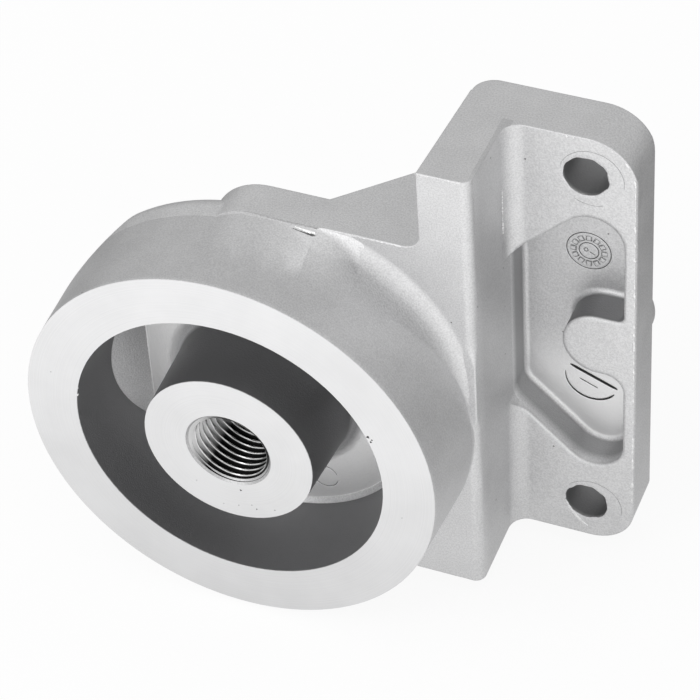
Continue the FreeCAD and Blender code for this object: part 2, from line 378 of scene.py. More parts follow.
def castSkin():
    # grey as-cast aluminium: fine grain, faint patches, softly rounded edges; painted shade in a few pits and
    # on steep walls, painted light on some floors
    material, nodes, links, shader = newMetal("castSkin", castLook["metallic"])
    texture = nodes.new("ShaderNodeTexCoord")
    place = texture.outputs["Object"]
    grain = noiseNode(nodes, links, place, castLook["grain"], 1.0)
    patch = noiseNode(nodes, links, place, castLook["patches"], 4.0)
    both = blendNode(nodes, links, grain, patch, castLook["grainShare"])
    skin = rampNode(nodes, links, both, list(zip(castLook["stops"], (castLook["dark"], castLook["light"]))))
    # painted shade: dark dots where the skin has small pits, with no hole cut
    cells = nodes.new("ShaderNodeTexVoronoi")
    cells.inputs["Scale"].default_value = castLook["pits"]
    links.new(place, cells.inputs["Vector"])
    chance = nodes.new("ShaderNodeSeparateColor")
    links.new(cells.outputs["Color"], chance.inputs["Color"])
    rare = mathNode(nodes, links, "GREATER_THAN", chance.outputs["Red"], castLook["pitFrom"])
    near = mathNode(nodes, links, "LESS_THAN", cells.outputs["Distance"], castLook["pitRadius"])
    skin = mixColour(nodes, links, timesNode(nodes, links, rare, near), skin, castLook["pitShade"])
    split = millimetrePlace(nodes, links, texture)
    facing = splitNode(nodes, links, texture.outputs["Normal"])
    facingY = mathNode(nodes, links, "ABSOLUTE", facing["Y"], 0.0)
    level = rangeNode(nodes, links, facingY, castLook["steepFrom"], castLook["steepTo"])
    # painted light: flat floors in the light places take a white colour
    light = timesNode(nodes, links, placeMask(nodes, links, split, castLook["paintedLightPlaces"]),
                      rangeNode(nodes, links, facingY, castLook["floorFrom"], castLook["floorTo"]))
    skin = mixColour(nodes, links, light, skin, castLook["paintedFloorLight"])
    # painted shade: steep walls in the dark places take the dark wall colour
    steep = mathNode(nodes, links, "SUBTRACT", 1.0, level)
    dark = timesNode(nodes, links, placeMask(nodes, links, split, castLook["paintedShadePlaces"]), steep)
    skin = mixColour(nodes, links, dark, skin, castLook["paintedWallShade"])
    links.new(skin, shader.inputs["Base Color"])
    rough = levelNode(nodes, links, patch, (0.0, 1.0), castLook["roughness"])
    links.new(rough, shader.inputs["Roughness"])
    bevel = nodes.new("ShaderNodeBevel")
    bevel.samples = castLook["roundSamples"]
    wider = timesNode(nodes, links, placeMask(nodes, links, split, castLook["roundPlaces"]),
                      (castLook["pocketRound"] - castLook["edgeRound"]) * mm)
    links.new(mathNode(nodes, links, "ADD", wider, castLook["edgeRound"] * mm), bevel.inputs["Radius"])
    normal = bumpNode(nodes, links, grain, *castLook["bump"], bevel.outputs["Normal"])
    links.new(normal, shader.inputs["Normal"])
    return material


turnedLook = {
    "colour": (0.79, 0.79, 0.795),
    "dull": 0.93,  # share of it where the face is dull
    "stops": (0.35, 0.6),
    "metallic": 0.9,
    "roughness": 0.30,
    "marks": 4200.0,  # turning marks in a metre of radius
    "markShare": 0.3,  # the rest of the noise is clouds
    "clouds": 60.0,
    "bump": (0.00001, 0.25),
}


def turnedFace():
    # bright turned aluminium: fine rings about the cup's axis
    look = turnedLook
    material, nodes, links, shader = newMetal("turnedFace", look["metallic"], look["roughness"])
    place = nodes.new("ShaderNodeTexCoord").outputs["Object"]
    split = splitNode(nodes, links, place)
    radius = lengthNode(nodes, links, split["X"], split["Z"])
    rings = nodes.new("ShaderNodeTexNoise")
    rings.noise_dimensions = "1D"
    rings.inputs["Scale"].default_value = look["marks"]
    rings.inputs["Detail"].default_value = 1.0
    links.new(radius, rings.inputs["W"])
    cloud = noiseNode(nodes, links, place, look["clouds"], 3.0)
    mixed = blendNode(nodes, links, rings.outputs["Fac"], cloud, look["markShare"])
    dull = tuple(c * look["dull"] for c in look["colour"])
    tone = rampNode(nodes, links, mixed, list(zip(look["stops"], (dull, look["colour"]))))
    links.new(tone, shader.inputs["Base Color"])
    links.new(bumpNode(nodes, links, rings.outputs["Fac"], *look["bump"]), shader.inputs["Normal"])
    return material


plainLook = {
    "grain": 3000.0,
    "dull": 0.8,
    "stops": (0.35, 0.65),
    "metallic": 0.9,
    "bump": (0.00003, 0.4),
}


def plainMetal(name, colour, roughness):
    # metal of one tone with a fine grain in its bump
    material, nodes, links, shader = newMetal(name, plainLook["metallic"], roughness)
    place = nodes.new("ShaderNodeTexCoord").outputs["Object"]
    grain = noiseNode(nodes, links, place, plainLook["grain"], 2.0)
    dull = tuple(c * plainLook["dull"] for c in colour)
    tone = rampNode(nodes, links, grain, list(zip(plainLook["stops"], (dull, colour))))
    links.new(tone, shader.inputs["Base Color"])
    links.new(bumpNode(nodes, links, grain, *plainLook["bump"]), shader.inputs["Normal"])
    return material


threadLook = {
    # painted highlight on the crests
    "crest": (0.92, 0.92, 0.92),
    "lit": (0.62, 0.62, 0.62),  # flanks on the side that the daylight reaches
    "shade": (0.006, 0.006, 0.006),  # flanks on the other side, and the roots
    "crestRadius": (7.16, 7.34),  # millimetres from the axis
    "litSide": (-0.86, 0.30),  # direction in X and Z of the lit side
    "sideRadius": 0.008,  # in metres
    "sideRange": (0.3, 0.8),  # from shade to lit
    "metallic": 0.95,
    "roughness": 0.34,
    "specular": 0.2,
}


def threadSteel():
    # tapped thread: painted highlight on the crests by radius, painted light and shade on the flanks by side
    # = (x litSide.x + z litSide.z) / sideRadius
    look = threadLook
    material, nodes, links, shader = newMetal("threadSteel", look["metallic"], look["roughness"])
    split = splitNode(nodes, links, nodes.new("ShaderNodeTexCoord").outputs["Object"])
    x, z = split["X"], split["Z"]
    litX, litZ = (part / look["sideRadius"] for part in look["litSide"])
    side = mathNode(nodes, links, "ADD", timesNode(nodes, links, x, litX), timesNode(nodes, links, z, litZ))
    lit = rangeNode(nodes, links, side, *look["sideRange"])
    flank = mixColour(nodes, links, lit, look["shade"], look["lit"])
    low, high = look["crestRadius"]
    outer = rangeNode(nodes, links, lengthNode(nodes, links, x, z), low * mm, high * mm)
    links.new(mixColour(nodes, links, outer, look["crest"], flank), shader.inputs["Base Color"])
    shader.inputs["Specular IOR Level"].default_value = look["specular"]
    return material


castMetal = castSkin()
turnedMetal = turnedFace()
# painted shade: dark metal in the cut grooves, pores and dark seam lines, a lighter grey in the faint lines
grooveShadeMetal = plainMetal("grooveShadeMetal", (0.16, 0.16, 0.16), 0.6)
faintShadeMetal = plainMetal("faintShadeMetal", (0.42, 0.42, 0.42), 0.6)
threadMetal = threadSteel()
sinkMetal = plainMetal("sinkMetal", (0.56, 0.56, 0.565), 0.5)
# painted highlight: white metal for thin fins, beads, burrs and light skin lines
flashHighlightMetal = plainMetal("flashHighlightMetal", (1.0, 1.0, 1.0), 0.45)
print("materials made")

# Marks cut into the casting

halfRoundMark = {  # seam of an insert in the pocket's floor
    "faceY": 42.6,
    "chord": ((50.45, -0.96), (59.6, -4.75)),
    "chordWidth": 0.72,
    "arcCentre": (54.69, -3.36),
    "arcRadius": 5.18,
    "arcFrom": 174.0,
    "arcTo": 326.0,
    "arcWidth": 0.46,
    "arcStart": 0.5,  # share of its width at its upper left end
    "short": ((52.2, -3.99), (55.81, -5.56)),
    "shortWidth": 0.3,
    "depth": 0.45,
    "arcDepth": 0.36,
    "shortDepth": 0.18,
}
dialMark = {  # date dial in the pocket's floor
    "faceY": 42.6,
    "centre": (54.1, 27.9),
    "outerRadius": 4.18,
    "innerRadius": 1.85,
    "lineWidth": 0.19,
    "depth": 0.16,
    "blocks": 12,
    "blockFrom": 2.4,
    "blockTo": 3.5,
    "blockHalf": 0.52,  # half its width
    "blockHeight": 0.15,
    "figureAt": (-0.55, 0.15),  # small ring beside the arrow, from the dial's centre
    "figureRadius": 0.38,
    "arrow": ((0.15, -0.25), (1.2, -0.75)),
    "faintWidth": 0.85,  # share of the line width round the blocks
    "blockEdge": (0.04, 0.14),  # where a block's top edge starts and ends, in from its outline
    "blockEnd": (-0.05, 0.08),  # and at its outer end, from blockTo
    "patch": (1.9, 2.2, 3.8),  # radii of the raised patch: its inner rim, and the fine grid from and to
    "sunk": 0.25,  # the patch lies this far under the floor between the blocks
    "base": 0.5,
}
ejectorMark = {  # on the floor of the cup
    "faceY": 18.7,
    "centre": (10.11, -20.97),
    "radius": 2.56,
    "arc": (20, 350),
    "width": 0.2,
    "depth": 0.12,
}
boltRing = {  # faint rings where the hole pins met the plate
    "faceY": 35.3,
    "arcs": (((57.1, 51.3), 165, -10), ((57.1, 51.3), 238, 292), ((57.1, -28.9), 140, -12)),
    "radius": 5.95,
    "width": 0.13,
    "depth": 0.05,
}
facePores = {  # x, z and radius of each
    "faceY": 0.03,
    "places": ((27.88, 12.52, 0.30), (28.61, 12.02, 0.18), (28.39, 11.46, 0.22), (1.77, -9.57, 0.20),
               (-7.07, -9.92, 0.10), (-2.02, -14.26, 0.10), (1.04, -13.75, 0.12), (3.71, -12.84, 0.12),
               (4.65, -13.57, 0.15), (8.31, -12.58, 0.12), (33.5, -6.0, 0.10), (-34.5, 9.0, 0.11)),
}


def dialCutters(dial):
    # two rings, a U round three sides of each block, and a small ring and arrow in the middle
    width, depth, faceY = dial["lineWidth"], dial["depth"], dial["faceY"]
    centre = np.array(dial["centre"])
    dark = [grooveCutter(circlePath(centre, dial["outerRadius"]), faceY, width, depth, True),
            grooveCutter(circlePath(centre, dial["innerRadius"], count=64), faceY, width, depth, True)]
    figure = circlePath(centre + dial["figureAt"], dial["figureRadius"], count=32)
    faint = [grooveCutter(figure, faceY, width, depth, True),
             grooveCutter(centre + linePath(*dial["arrow"]), faceY, width, depth)]
    half, low, high = dial["blockHalf"], dial["blockFrom"], dial["blockTo"]
    corners = np.array([(high, -half), (low, -half), (low, half), (high, half)])
    for turn in np.arange(dial["blocks"]) * 2 * math.pi / dial["blocks"]:
        spin = np.array([(math.cos(turn), math.sin(turn)), (-math.sin(turn), math.cos(turn))])
        legs = [linePath(corners[k], corners[k + 1], 9)[k > 0:] for k in range(3)]
        outline = centre + np.concatenate(legs) @ spin
        faint.append(grooveCutter(outline, faceY, width * dial["faintWidth"], depth))
    return dark, faint


def markCutters():
    # the cutting tools, those whose grooves get dark painted shade and those whose faint lines get lighter
    # painted shade
    mark, pin, ring = halfRoundMark, ejectorMark, boltRing
    arc = circlePath(mark["arcCentre"], mark["arcRadius"], mark["arcFrom"], mark["arcTo"], 48)
    dark, faint = dialCutters(dialMark)
    dark += [
        grooveCutter(linePath(*mark["chord"]), mark["faceY"], mark["chordWidth"], mark["depth"]),
        grooveCutter(arc, mark["faceY"], mark["arcWidth"], mark["arcDepth"], begin=mark["arcStart"]),
    ]
    pinArc = circlePath(pin["centre"], pin["radius"], *pin["arc"], 60)
    faint += [
        grooveCutter(linePath(*mark["short"]), mark["faceY"], mark["shortWidth"], mark["shortDepth"]),
        grooveCutter(pinArc, pin["faceY"], pin["width"], pin["depth"]),
    ]
    for centre, start, stop in ring["arcs"]:
        holeArc = circlePath(centre, ring["radius"], start, stop, 60)
        faint.append(grooveCutter(holeArc, ring["faceY"], ring["width"], ring["depth"]))
    pores = enumerate(facePores["places"])
    dark += [pebble((x, facePores["faceY"], z), size, seed) for seed, (x, z, size) in pores]
    return dark, faint


def joined(name, groups, materials):
    # one mesh of closed meshes; those of group k get material k
    mesh = bpy.data.meshes.new(name)
    with editing(mesh) as bm:
        for index, group in enumerate(groups):
            for part in group:
                part.polygons.foreach_set("material_index", np.full(len(part.polygons), index, np.int32))
                bm.from_mesh(part)
    for material in materials:
        mesh.materials.append(material)
    return mesh


def faceArrays(mesh):
    # face centres in millimetres and unit normals
    return readArray(mesh.polygons, "center", 3) / mm, readArray(mesh.polygons, "normal", 3)


finish = {
    "weld": 1e-6,  # metres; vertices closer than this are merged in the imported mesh
    "sliver": 1e-7,
    "cutWeld": 2e-6,  # and after the cut
    "planeTurn": 500,  # faces lie on one plane where their normals agree to one part in this
    "planeDepth": 50,  # and their distances to one part of a millimetre in this
    "sharpAngle": 24.0,
    "turnedDepth": 0.45,  # the countersink goes this deep
    "turnedRadius": 8.5,
    "near": 0.01,  # a face lies on the turned plane where it is this near
    "square": 0.99,
}


def castingBody():
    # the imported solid, merged to one skin, with the marks cut out of it
    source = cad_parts["filter_head"]
    mesh = source.data.copy()
    with editing(mesh) as bm:
        bmesh.ops.remove_doubles(bm, verts=bm.verts, dist=finish["weld"])
        bmesh.ops.dissolve_degenerate(bm, edges=bm.edges, dist=finish["sliver"])
    mesh.materials.clear()
    for material in (castMetal, turnedMetal, grooveShadeMetal, faintShadeMetal, sinkMetal):
        mesh.materials.append(material)
    body = addObject("castingBody", mesh)
    tool = addObject("markTool", joined("markTool", markCutters(), (grooveShadeMetal, faintShadeMetal)))
    cut = body.modifiers.new("marks", "BOOLEAN")
    cut.operation, cut.solver, cut.object = "DIFFERENCE", "EXACT", tool
    cut.material_mode = "TRANSFER"
    bpy.context.view_layer.update()
    done = bpy.data.meshes.new_from_object(body.evaluated_get(bpy.context.evaluated_depsgraph_get()))
    body.modifiers.clear()
    body.data = done
    bpy.data.objects.remove(tool)
    print("casting cut:", len(mesh.polygons), "faces before,", len(done.polygons), "after")
    return body


def cleanCut(mesh):
    # slivers of the cut go, and its many-sided faces become triangles
    with editing(mesh) as bm:
        bmesh.ops.remove_doubles(bm, verts=bm.verts, dist=finish["cutWeld"])
        bmesh.ops.dissolve_degenerate(bm, edges=bm.edges, dist=finish["cutWeld"])
        many = [face for face in bm.faces if len(face.verts) > 4]
        bmesh.ops.triangulate(bm, faces=many, ngon_method="BEAUTY")
        bmesh.ops.dissolve_degenerate(bm, edges=bm.edges, dist=finish["cutWeld"])


armRound = {  # the concave blend between the cup and the arm, about an axis off the cup's
    "axis": (8.0, 11.0),
    "radius": 6.5,
    "foot": 33.36,
    "start": 11.1,
    "power": 3.0,  # how far its bright band is pushed to the arm's side
    "stepAt": 12.9,  # the slope's end face, seen as one skin with what lies round it
    "stepDepths": (8.0, 17.7),
    "stepAbove": 36.0,
    "front": 17.6,
    "endAt": 0.8,  # the arm's top is flat to the right of this and round to its left
    "endRound": 12.0,
    "steepest": 0.95,
    "stripTilt": 0.2,
    "slack": 0.15,  # a face is on the blend where it is this near to the round
    "near": 0.05,  # at the step where it is this near
    "flat": 0.02,  # and on the front where it is this near
    "square": 0.95,  # least part of a normal along the axis that it faces
    "rimReach": 1.0,
    "rimFacing": -0.6,
}


def pushedRound(places, centres, normals, face, total):
    # on the blend, normal = cos(b) radial - sin(b) Y with b = 90 degrees (a / 90 degrees)^power,
    # a the angle round its section
    r = armRound
    axis = np.array([r["axis"][0], 0.0, r["axis"][1]])

    def section(points):
        away = (points - axis) * (1, 0, 1)
        rho = np.linalg.norm(away, axis=1)
        return away / rho[:, None], r["foot"] - rho, points[:, 1] - r["start"]

    radial, across, deep = section(centres)
    turn = np.arctan2(deep, across)
    expected = np.cos(turn)[:, None] * radial - np.sin(turn)[:, None] * np.array([0, 1, 0])
    agrees = (expected * normals).sum(1) > r["square"]
    on = (np.abs(np.hypot(across, deep) - r["radius"]) < r["slack"]) & (deep > 0) & (across > 0) & agrees
    radial, across, deep = section(places)
    share = np.clip(np.arctan2(deep, across) / (math.pi / 2), 0, 1) ** r["power"] * math.pi / 2
    pushed = np.cos(share)[:, None] * radial - np.sin(share)[:, None] * np.array([0, 1, 0])
    return np.where(on[face][:, None], pushed, total)


def smoothedStep(places, centres, normals, face, corner, total):
    # the slope's end face takes at each vertex the mean normal of the other faces there; the strip over its
    # crest takes (t, -tilt, sqrt(1 - t^2)) as the arm's top, t = min(0, (x - endAt) / endRound)
    r = armRound
    low, high = r["stepDepths"]
    x, y, z = centres.T
    above = z > r["stepAbove"]
    within = (np.abs(x - r["stepAt"]) < r["near"]) & (y > low) & (y < high) & above
    step = within & (np.abs(normals[:, 0]) > r["square"])
    front = (np.abs(y - r["front"]) < r["flat"]) & (normals[:, 1] < -r["square"])
    beside = (x < r["stepAt"] + r["near"]) & (np.abs(y - r["front"]) < r["rimReach"]) & above
    rim = beside & (normals[:, 1] < r["rimFacing"])  # what shows of the blend over the slope's crest
    left = (places[:, 0] < r["stepAt"] + 2 * r["near"]) & (places[:, 2] > r["stepAbove"])
    strip = rim[face] | (front[face] & left)
    there = step[face] & ~strip
    turn = np.clip((places[:, 0] - r["endAt"]) / r["endRound"], -r["steepest"], 0)
    rounded = np.stack([turn, np.full(len(turn), -r["stripTilt"]), np.sqrt(1 - turn ** 2)], -1)
    total = np.where(strip[:, None], rounded, total)
    sums = [np.bincount(corner[~there], total[~there, k], corner.max() + 1) for k in range(3)]
    other = np.stack(sums, -1)[corner]
    length = np.linalg.norm(other, axis=1, keepdims=True)
    return np.where(there[:, None] & (length > 0.1), other / np.maximum(length, 0.1), total)


def evenNormals(mesh):
    # corner normal = sum of n_f A_f over the faces f round its vertex that turn less than sharpAngle from its
    # own face; A_f is the area of all faces on the plane of f, so flat faces stay flat up to their rounds
    centres, normals = faceArrays(mesh)
    area = readArray(mesh.polygons, "area")
    counts = readArray(mesh.polygons, "loop_total", kind=np.int32)
    offset = (centres * normals).sum(1)
    planes = np.c_[np.round(normals * finish["planeTurn"]), np.round(offset * finish["planeDepth"])]
    plane = np.unique(planes, axis=0, return_inverse=True)[1].ravel()
    weight = np.bincount(plane, area)[plane]
    corner = readArray(mesh.loops, "vertex_index", kind=np.int32)
    face = np.repeat(np.arange(len(counts)), counts)
    order = np.argsort(corner, kind="stable")
    start = np.searchsorted(corner[order], np.arange(len(mesh.vertices) + 1))
    around = (start[1:] - start[:-1])[corner]  # faces round each corner's vertex
    own = np.repeat(np.arange(len(corner)), around)
    place = np.arange(len(own)) - np.repeat(np.cumsum(around) - around, around)
    other = face[order[start[corner[own]] + place]]
    mine = face[own]
    near = (normals[mine] * normals[other]).sum(1) > math.cos(math.radians(finish["sharpAngle"]))
    own, other = own[near], other[near]
    total = np.stack([np.bincount(own, normals[other, k] * weight[other], len(corner)) for k in range(3)], -1)
    length = np.linalg.norm(total, axis=1, keepdims=True)
    total = np.where(length > 1e-15, total / np.maximum(length, 1e-15), normals[face])
    places = readArray(mesh.vertices, "co", 3)[corner] / mm
    total = pushedRound(places, centres, normals, face, total)
    total = smoothedStep(places, centres, normals, face, corner, total)
    smoothFaces(mesh, finish["sharpAngle"])
    mesh.normals_split_custom_set(total.tolist())


def turnedFaces(mesh):
    # the turned metal by place: the flat faces at Y = 0 and the thread's countersink
    centres, normals = faceArrays(mesh)
    radius = np.hypot(centres[:, 0], centres[:, 2])
    slot = readArray(mesh.polygons, "material_index", kind=np.int32)
    flat = (np.abs(centres[:, 1]) < finish["near"]) & (normals[:, 1] < -finish["square"])
    sink = (radius < finish["turnedRadius"]) & (centres[:, 1] < finish["turnedDepth"])
    slot[(slot == 0) & flat] = 1
    slot[(slot == 0) & sink] = 4
    mesh.polygons.foreach_set("material_index", slot)


casting = castingBody()
cleanCut(casting.data)
turnedFaces(casting.data)
evenNormals(casting.data)
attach(casting, "root")
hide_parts("filter_head")
print("casting finished")

# Run-out of the slope, a thin wedge of skin to the right of its end

runOut = {
    "from": 12.86,
    "to": 21.5,
    "depths": (7.9, 17.62),
    "grid": (50, 60),
    "crest": 42.45,
    "bright": (0.3, 2.4),  # width of the bright band under its crest, at its left and right end
    "brightNormal": (0.1, -0.7, 0.7),
    "sideTilt": 0.5,
    "power": 0.6,  # how early the cup's normals turn into the slope's
    "slopeStart": 8.0,
    "startRadius": 40.185,
    "cup": (40.0, 0.0419),  # radius of the cup's wall at Y = 0, and its draft
    "sunk": 0.05,
    "under": 3.0,
}


def slopeRunOut():
    # z = base + max(-sunk, (slope - base) (1 - s) - sunk s), s = smoothStep along x;
    # base is the higher of cup wall and blend
    o, r = runOut, armRound
    columns = np.linspace(o["from"], o["to"], o["grid"][0])
    x, y = np.meshgrid(columns, np.linspace(*o["depths"], o["grid"][1]), indexing="ij")
    cup = np.sqrt((o["cup"][0] + o["cup"][1] * y) ** 2 - x ** 2)
    rho = r["foot"] - np.sqrt(np.maximum(r["radius"] ** 2 - (y - r["start"]) ** 2, 0))
    blend = r["axis"][1] + np.sqrt(np.maximum(rho ** 2 - (x - r["axis"][0]) ** 2, 0))
    base = np.minimum(np.where(y > r["start"], np.maximum(cup, blend), cup), o["crest"])
    low = np.sqrt(o["startRadius"] ** 2 - x ** 2)
    slope = low + (o["crest"] - low) * (y - o["slopeStart"]) / (r["front"] - o["slopeStart"])
    s = smoothStep(o["from"], o["to"], x)
    z = base + np.maximum(-o["sunk"], (slope - base) * (1 - s) - o["sunk"] * s)
    top = np.stack([x, y, z], -1)
    under = top - np.array([0, 0, o["under"]])
    mesh = ringMesh("runOut", np.concatenate([top, under[:, ::-1]], 1))
    # normals go from the cup's wall to the slope's with depth, and turn to the front under the crest
    wall = np.stack([x, -o["cup"][1] * np.hypot(x, cup), cup], -1)
    wall = wall / np.linalg.norm(wall, axis=-1, keepdims=True)
    rise = (o["crest"] - low) / (r["front"] - o["slopeStart"])
    tilted = np.stack([o["sideTilt"] * x / low, -rise, np.ones_like(x)], -1)
    tilted = tilted / np.linalg.norm(tilted, axis=-1, keepdims=True)
    deep = np.clip((y - o["slopeStart"]) / (r["front"] - o["slopeStart"]), 0, 1)
    share = (deep ** o["power"] * (1 - s))[..., None]
    width = o["bright"][0] + (o["bright"][1] - o["bright"][0]) * (x - o["from"]) / (o["to"] - o["from"])
    band = smoothStep(r["front"] - width, r["front"], y)[..., None]
    normals = (wall * (1 - share) + tilted * share) * (1 - band) + np.array(o["brightNormal"]) * band
    normals = normals / np.linalg.norm(normals, axis=-1, keepdims=True)
    return mesh, np.concatenate([normals, -normals[:, ::-1]], 1).reshape(-1, 3)


runOutMesh, runOutNormals = slopeRunOut()
addPiece("slopeRunOut", runOutMesh, castMetal)
runOutMesh.normals_split_custom_set_from_vertices(runOutNormals.tolist())

wallEdge = {  # the wall's front edge is sharper where the blend's tip meets it
    "corner": (41.6, 17.6),
    "heights": (1.0, 4.8, 17.0, 23.0),  # the sharper part grows, stays and fades between these
    "rounds": (2.03, 0.3),
    "proud": 0.1,  # stands over the blend's thin tip
    "off": 0.004,  # keeps it out of the wall's own planes
    "under": 3.2,
}


def wallEdgeSkin():
    # quarter round of radius r(z) in the corner, r = rounds[0] + (rounds[1] - rounds[0]) b(z),
    # b up and down by smoothStep; its front stands proud b(z) before the wall's
    w = wallEdge
    cornerX, cornerY = w["corner"]
    z = np.linspace(w["heights"][0], w["heights"][3], 60)[:, None]
    bump = smoothStep(*w["heights"][:2], z) * (1 - smoothStep(*w["heights"][2:], z))
    r = w["rounds"][0] + (w["rounds"][1] - w["rounds"][0]) * bump
    a = np.radians(np.linspace(-90, 0, 14))[None, :]
    side = cornerX - w["off"]
    x = side - r + r * np.cos(a)
    front = cornerY + w["off"] - w["proud"] * bump
    y = front + r + r * np.sin(a)
    inner = np.ones_like(z)
    x = np.concatenate([x, inner * side, inner * (cornerX - w["under"]), inner * (cornerX - w["under"])], 1)
    y = np.concatenate([y, inner * (cornerY + w["under"]), inner * (cornerY + w["under"]), front], 1)
    return ringMesh("wallEdge", np.stack([x, y, z + 0 * x], -1))


addPiece("wallEdgeSkin", wallEdgeSkin(), castMetal)

# Filter thread

filterThread = {
    "radius": 7.93,  # root of the ridges, just inside the drilled wall
    "pitch": 1.5,
    "height": 0.78,
    "ridge": (1.3, 0.12),  # steepness of its flanks, and how much of its foot the root takes
    "wall": 0.35,
    "from": 0.4,
    "to": 17.4,
    "lip": ((7.97, 0.42), (7.6, 0.8), (7.66, 0.9), (8.25, 0.9), (8.25, 0.5)),  # radius and depth, round it
    "runIn": 0.35,  # the ridge grows over this depth
    "around": 96,
    "perPitch": 12,
}


def threadSleeve():
    # r(a, y) = radius - height w(y / pitch - a / 2 pi), w a 60 degree ridge with flat crest;
    # a runs clockwise seen from -Y
    t = filterThread
    rows = int((t["to"] - t["from"]) / t["pitch"] * t["perPitch"])
    turn = np.linspace(0, 2 * np.pi, t["around"], endpoint=False)
    y, a = np.meshgrid(np.linspace(t["from"], t["to"], rows), turn, indexing="ij")
    phase = (y / t["pitch"] - a / (2 * np.pi)) % 1.0
    ridge = np.clip((0.5 - np.abs(phase - 0.5)) / 0.5 * t["ridge"][0] - t["ridge"][1], 0, 1)
    fade = smoothStep(t["from"], t["from"] + t["runIn"], y)
    r = t["radius"] - t["height"] * ridge * fade
    inner = np.stack([r * np.sin(a), y, r * np.cos(a)], -1)
    back = t["radius"] + t["wall"]
    outer = np.stack([back * np.sin(a), y, back * np.cos(a)], -1)[[-1, 0]]
    return ringMesh("filterThread", np.concatenate([inner, outer]), closed=True)


def mouthLip():
    # ring round the bore's mouth that carries its countersink on to the first ridge
    a = np.linspace(0, 2 * np.pi, filterThread["around"], endpoint=False)
    rings = [np.stack([r * np.sin(a), y + 0 * a, r * np.cos(a)], -1) for r, y in filterThread["lip"]]
    return ringMesh("mouthLip", np.stack(rings), closed=True)


addPiece("filterThread", threadSleeve(), threadMetal)
addPiece("mouthLip", mouthLip(), sinkMetal)
print("thread made")

# Raised blocks of the date dial

def dialRelief():
    # polar patch; each block is raised where |v| < blockHalf and blockFrom < u < blockTo,
    # (u, v) along and across its radius
    d = dialMark
    low, high = d["blockEdge"]
    radii = np.concatenate([[d["patch"][0]], np.linspace(*d["patch"][1:], 40)])
    r, a = np.meshgrid(radii, np.linspace(0, 2 * np.pi, 360, endpoint=False), indexing="ij")
    step = 2 * np.pi / d["blocks"]
    off = a - np.round(a / step) * step
    u, v = r * np.cos(off), np.abs(r * np.sin(off))
    sides = 1 - smoothStep(d["blockHalf"] - high, d["blockHalf"] - low, v)
    innerEnd = smoothStep(d["blockFrom"] + low, d["blockFrom"] + high, u)
    outerEnd = 1 - smoothStep(d["blockTo"] + d["blockEnd"][0], d["blockTo"] + d["blockEnd"][1], u)
    y = d["faceY"] + d["sunk"] - (d["sunk"] + d["blockHeight"]) * (sides * innerEnd * outerEnd)
    rings = np.stack([d["centre"][0] + r * np.cos(a), y, d["centre"][1] + r * np.sin(a)], -1)
    base = rings[[-1, 0]].copy()
    base[..., 1] = d["faceY"] + d["base"]
    return ringMesh("dateDial", np.concatenate([rings, base]), closed=True)


addPiece("dateDial", dialRelief(), castMetal)

# Ragged flash at the mouths of the bolt holes, along the parting edges and at the rim

boltFlash = {
    "centres": ((56.1, 51.5), (56.1, -28.5)),
    "faceY": 35.3,
    "radius": 4.25,
    "reach": 0.24,
    "shows": 0.3,
    "least": 0.02,
    "width": 0.4,
    "slope": 0.25,
    "depths": (0.06, -0.02, 0.04, 0.5, 0.25),  # round the fin's section, from its inner edge
    "around": 120,
    "seed": 11,
}


def boltFlashRing(centre, seed):
    # fin round the hole's mouth; its inner edge is at radius - reach clip(shows + wander, least, 1)
    b = boltFlash
    a = np.linspace(0, 2 * np.pi, b["around"], endpoint=False)
    inner = b["radius"] - b["reach"] * np.clip(b["shows"] + wander(len(a), seed, 9, True), b["least"], 1)
    outer = b["radius"] + b["width"] + 0 * a
    radii = (inner, inner + b["slope"], outer, outer, inner)
    rings = [np.stack([centre[0] + r * np.cos(a), b["faceY"] + depth + 0 * a, centre[1] + r * np.sin(a)], -1)
             for r, depth in zip(radii, b["depths"])]
    return ringMesh("boltFlash", np.stack(rings, 1), closed=True)


for number, centre in enumerate(boltFlash["centres"]):
    fin = boltFlashRing(centre, boltFlash["seed"] + number)
    addPiece(f"boltFlash{number + 1}", fin, castMetal)

# Ragged beads left along parting edges: depth, size, share of the line that shows, corner points in X and Z
flashLines = [
    {"name": "armTopFlash", "faceY": 17.6, "size": 0.12, "shows": 0.6,
     "points": ((13.0, 42.35), (28.6, 42.52))},
    {"name": "wallTopFlash", "faceY": 17.6, "size": 0.15, "shows": 0.45,
     "points": ((31.6, 59.82), (40.0, 59.82))},
    {"name": "plateEdgeFlash", "faceY": 35.5, "size": 0.36, "shows": 0.25,
     "points": ((46.0, 59.6), (56.4, 59.6), (65.0, 51.0), (65.0, -26.0)), "corner": ((56.4, 51.0), 8.6)},
    {"name": "wallRootFlash", "faceY": 31.9, "size": 0.17, "shows": 0.35,
     "points": ((41.95, 47.5), (41.95, 37.5))},
]
flashSeed = 60


def flashPath(line):
    # straight lines between the points, with a quarter circle instead of the line across a corner
    points = line["points"]
    if "corner" not in line:
        return linePath(*points, 120)
    centre, radius = line["corner"]
    top = linePath(points[0], points[1], 60)[:-1]
    turn = circlePath(centre, radius, 90, 0.1, 50)[:-1]
    return np.concatenate([top, turn, linePath(points[2], points[3], 300)])


def flashBead(line, seed):
    # round bead on the path; its radius is size * clip(shows + 0.8 wander, 0.15, 1)
    path = flashPath(line)
    size = line["size"] * np.clip(line["shows"] + 0.8 * wander(len(path), seed, len(path) // 5), 0.15, 1)
    a = np.linspace(0, 2 * np.pi, 8, endpoint=False)
    section = np.stack([np.cos(a), np.sin(a)], -1)
    return ringMesh("flashBead", alongFace(path, line["faceY"], section, False, size))


# beads in white metal, a painted highlight
for number, line in enumerate(flashLines):
    addPiece(line["name"], flashBead(line, flashSeed + number), flashHighlightMetal)

